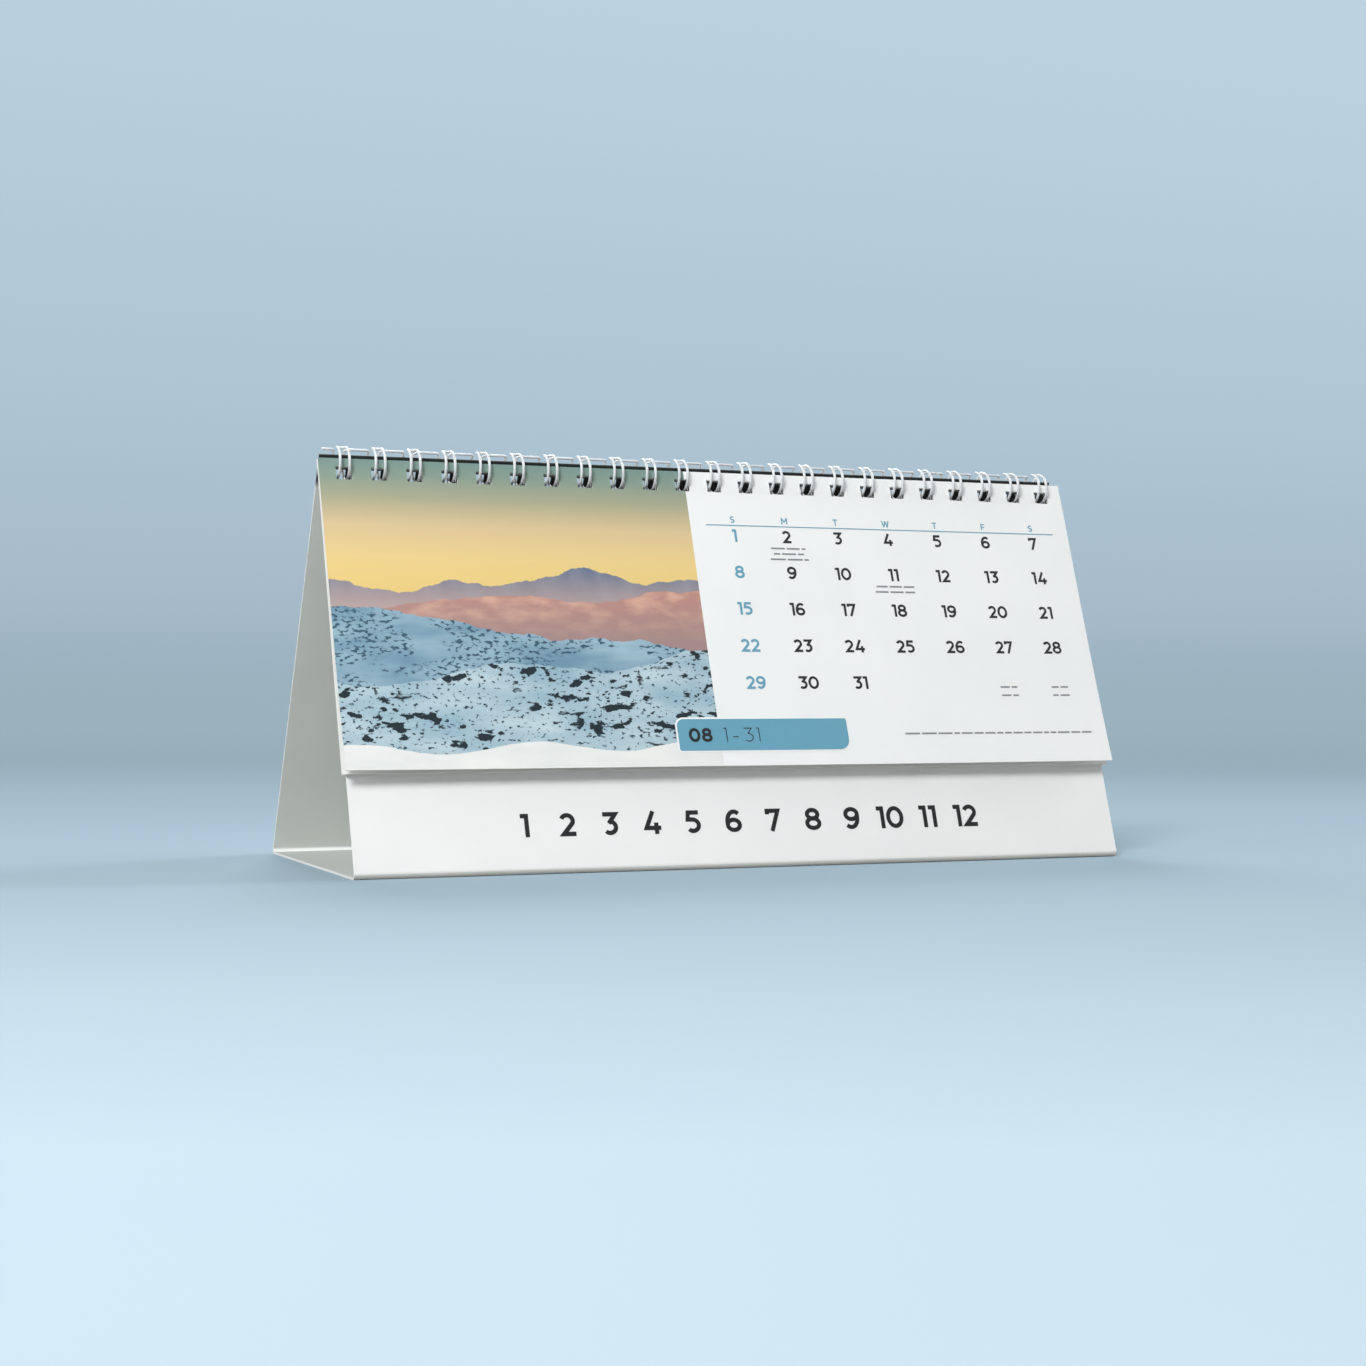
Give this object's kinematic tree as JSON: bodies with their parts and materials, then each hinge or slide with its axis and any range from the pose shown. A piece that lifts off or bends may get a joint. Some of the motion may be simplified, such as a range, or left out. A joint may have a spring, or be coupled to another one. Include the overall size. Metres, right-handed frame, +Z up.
{
  "type": "desk calendar",
  "caption": "Desk calendar: folded card stand with open ends, a row of twin wire loops along its top and printed month leaves that turn on the wire.",
  "frame": {"origin": "on the table, under the middle of the whole object", "axes": "+X runs along the wire to the right of someone reading the leaf, the printed side faces -Y, +Z is up"},
  "size_m": [0.198, 0.08, 0.0982],
  "materials": {
    "stand_card": "smooth white coated card, matt",
    "coated_wire": "white nylon-coated steel wire, satin",
    "leaf_paper": "uncoated white paper edges",
    "printed_leaf": "printed satin paper"
  },
  "bodies": {
    "stand": {"stand": "stand_card", "wire_binding": "coated_wire"},
    "leaves": {"leaf_pack": "leaf_paper", "front_leaf": "printed_leaf"}
  },
  "joints": [
    {"name": "leaves_turn", "type": "hinge", "parent": "stand", "child": "leaves", "pos_m": [0, -0.00928, 0.09459], "axis": [-1, 0, 0], "range_deg": [0, 180]}
  ]
}
